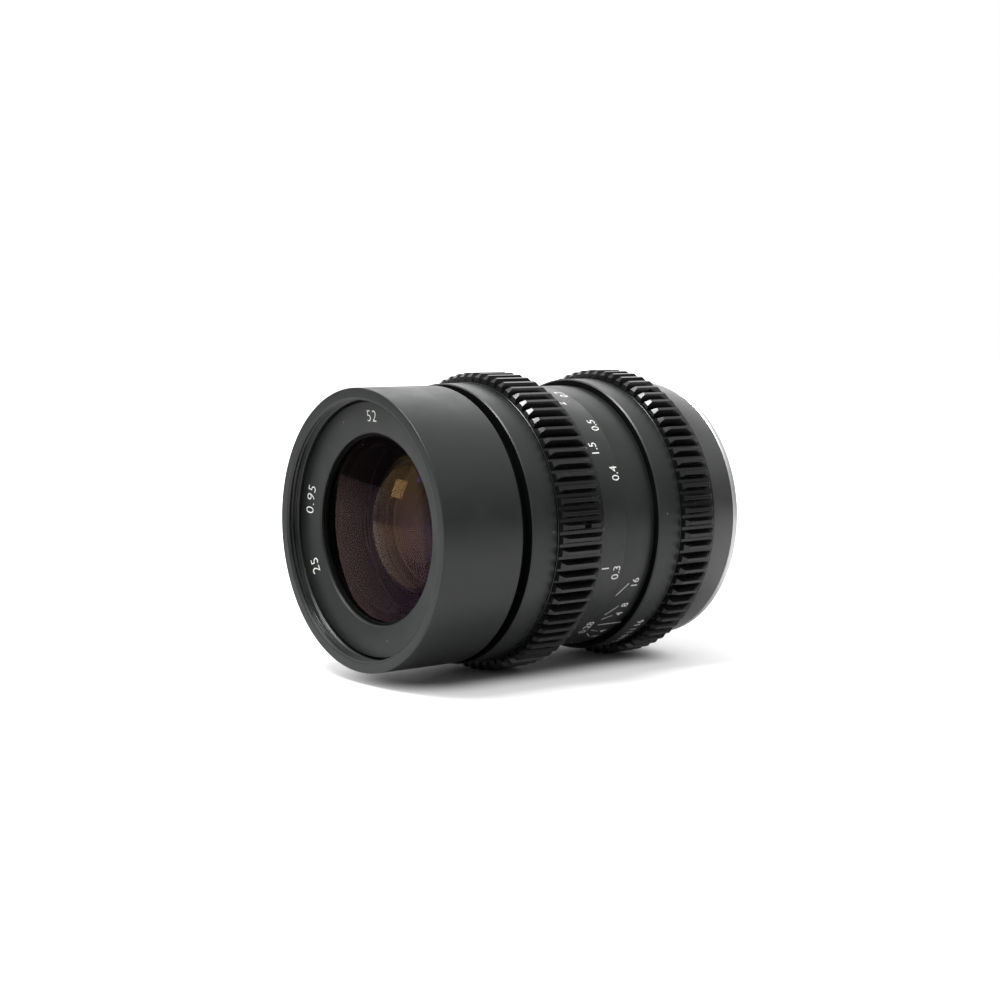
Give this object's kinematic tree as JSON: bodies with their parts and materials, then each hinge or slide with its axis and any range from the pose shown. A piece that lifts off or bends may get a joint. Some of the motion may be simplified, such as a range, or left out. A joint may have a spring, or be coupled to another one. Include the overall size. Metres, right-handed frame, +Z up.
{
  "type": "cinema prime lens",
  "caption": "Fast prime lens for motion picture work, with geared focus and aperture rings, an iris, a filter thread and a bayonet camera mount.",
  "frame": {"origin": "centre of the mount flange's face, where the optical axis meets it", "axes": "+Y along the optical axis towards the camera, -Y out of the front glass, +Z up as the lens lies in the picture"},
  "size_m": [0.0608, 0.0821, 0.0608],
  "materials": {
    "barrel_black": "satin black anodising",
    "gear_black": "glossy black anodising",
    "name_ring_black": "matte black anodising",
    "inner_black": "matte black anodising",
    "baffle_black": "matte black paint",
    "flange_metal": "satin chrome plating",
    "screw_steel": "bright",
    "grub_steel": "blackened",
    "blade_steel": "blackened",
    "roller_brass": "turned",
    "shim_plastic": "plain",
    "front_glass": "coated",
    "inner_glass": "coated"
  },
  "bodies": {
    "barrel": {"mount_flange": "flange_metal", "mount_screws": "screw_steel", "rear_baffle": "baffle_black", "rear_barrel": "barrel_black", "fixed_tube": "inner_black", "scale_ring": "barrel_black", "focus_shim": "shim_plastic", "focus_retaining_ring": "inner_black", "front_barrel": "barrel_black", "name_ring": "name_ring_black"},
    "focus": {"focus_ring": "barrel_black", "focus_gear": "gear_black", "focus_gear_screws": "grub_steel"},
    "optics": {"optics_barrel": "inner_black", "cam_pins": "screw_steel", "cam_rollers": "roller_brass", "front_cell": "inner_black", "glass_1": "front_glass", "glass_2": "inner_glass", "glass_3": "inner_glass", "glass_4": "inner_glass", "front_retainer": "inner_black", "front_spacer": "inner_black", "middle_spacer": "inner_black", "iris_base": "inner_black", "iris_wall": "inner_black", "rear_cell": "inner_black", "glass_5": "inner_glass", "glass_6": "inner_glass", "glass_7": "inner_glass", "glass_8": "inner_glass", "glass_9": "inner_glass", "doublet_retainer": "inner_black", "rear_spacer": "inner_black", "rear_retainer": "inner_black"},
    "aperture": {"aperture_ring": "barrel_black", "aperture_gear": "gear_black", "aperture_gear_screws": "grub_steel", "aperture_pin": "screw_steel"},
    "iris_ring": {"iris_cam_ring": "inner_black"},
    "blade_01": {"iris_blade_01": "blade_steel"},
    "blade_02": {"iris_blade_02": "blade_steel"},
    "blade_03": {"iris_blade_03": "blade_steel"},
    "blade_04": {"iris_blade_04": "blade_steel"},
    "blade_05": {"iris_blade_05": "blade_steel"},
    "blade_06": {"iris_blade_06": "blade_steel"},
    "blade_07": {"iris_blade_07": "blade_steel"},
    "blade_08": {"iris_blade_08": "blade_steel"},
    "blade_09": {"iris_blade_09": "blade_steel"},
    "blade_10": {"iris_blade_10": "blade_steel"}
  },
  "joints": [
    {"name": "focus_turn", "type": "hinge", "parent": "barrel", "child": "focus", "pos_m": [0, -0.04395, 0], "axis": [0, 1, 0], "range_deg": [0, 180]},
    {"name": "optics_slide", "type": "slide", "parent": "barrel", "child": "optics", "axis": [0, 1, 0], "range_m": [0, 0.00275]},
    {"name": "aperture_turn", "type": "hinge", "parent": "barrel", "child": "aperture", "pos_m": [0, -0.0135, 0], "axis": [0, -1, 0], "range_deg": [0, 76]},
    {"name": "iris_ring_turn", "type": "hinge", "parent": "optics", "child": "iris_ring", "pos_m": [0, -0.0392, 0], "axis": [0, -1, 0], "range_deg": [0, 76]},
    {"name": "blade_01_turn", "type": "hinge", "parent": "optics", "child": "blade_01", "pos_m": [0.0175, -0.0421, 0], "axis": [0, -1, 0], "range_deg": [0, 32.5]},
    {"name": "blade_02_turn", "type": "hinge", "parent": "optics", "child": "blade_02", "pos_m": [0.01416, -0.0421, 0.01029], "axis": [0, -1, 0], "range_deg": [0, 32.5]},
    {"name": "blade_03_turn", "type": "hinge", "parent": "optics", "child": "blade_03", "pos_m": [0.00541, -0.0421, 0.01664], "axis": [0, -1, 0], "range_deg": [0, 32.5]},
    {"name": "blade_04_turn", "type": "hinge", "parent": "optics", "child": "blade_04", "pos_m": [-0.00541, -0.0421, 0.01664], "axis": [0, -1, 0], "range_deg": [0, 32.5]},
    {"name": "blade_05_turn", "type": "hinge", "parent": "optics", "child": "blade_05", "pos_m": [-0.01416, -0.0421, 0.01029], "axis": [0, -1, 0], "range_deg": [0, 32.5]},
    {"name": "blade_06_turn", "type": "hinge", "parent": "optics", "child": "blade_06", "pos_m": [-0.0175, -0.0421, 0], "axis": [0, -1, 0], "range_deg": [0, 32.5]},
    {"name": "blade_07_turn", "type": "hinge", "parent": "optics", "child": "blade_07", "pos_m": [-0.01416, -0.0421, -0.01029], "axis": [0, -1, 0], "range_deg": [0, 32.5]},
    {"name": "blade_08_turn", "type": "hinge", "parent": "optics", "child": "blade_08", "pos_m": [-0.00541, -0.0421, -0.01664], "axis": [0, -1, 0], "range_deg": [0, 32.5]},
    {"name": "blade_09_turn", "type": "hinge", "parent": "optics", "child": "blade_09", "pos_m": [0.00541, -0.0421, -0.01664], "axis": [0, -1, 0], "range_deg": [0, 32.5]},
    {"name": "blade_10_turn", "type": "hinge", "parent": "optics", "child": "blade_10", "pos_m": [0.01416, -0.0421, -0.01029], "axis": [0, -1, 0], "range_deg": [0, 32.5]}
  ],
  "couplings": [
    {"joint": "optics_slide", "follows": "focus_turn", "m_per_rad": 0.00087535},
    {"joint": "iris_ring_turn", "follows": "aperture_turn", "ratio": 1},
    {"joint": "blade_01_turn", "follows": "aperture_turn", "ratio": 0.42763},
    {"joint": "blade_02_turn", "follows": "aperture_turn", "ratio": 0.42763},
    {"joint": "blade_03_turn", "follows": "aperture_turn", "ratio": 0.42763},
    {"joint": "blade_04_turn", "follows": "aperture_turn", "ratio": 0.42763},
    {"joint": "blade_05_turn", "follows": "aperture_turn", "ratio": 0.42763},
    {"joint": "blade_06_turn", "follows": "aperture_turn", "ratio": 0.42763},
    {"joint": "blade_07_turn", "follows": "aperture_turn", "ratio": 0.42763},
    {"joint": "blade_08_turn", "follows": "aperture_turn", "ratio": 0.42763},
    {"joint": "blade_09_turn", "follows": "aperture_turn", "ratio": 0.42763},
    {"joint": "blade_10_turn", "follows": "aperture_turn", "ratio": 0.42763}
  ]
}
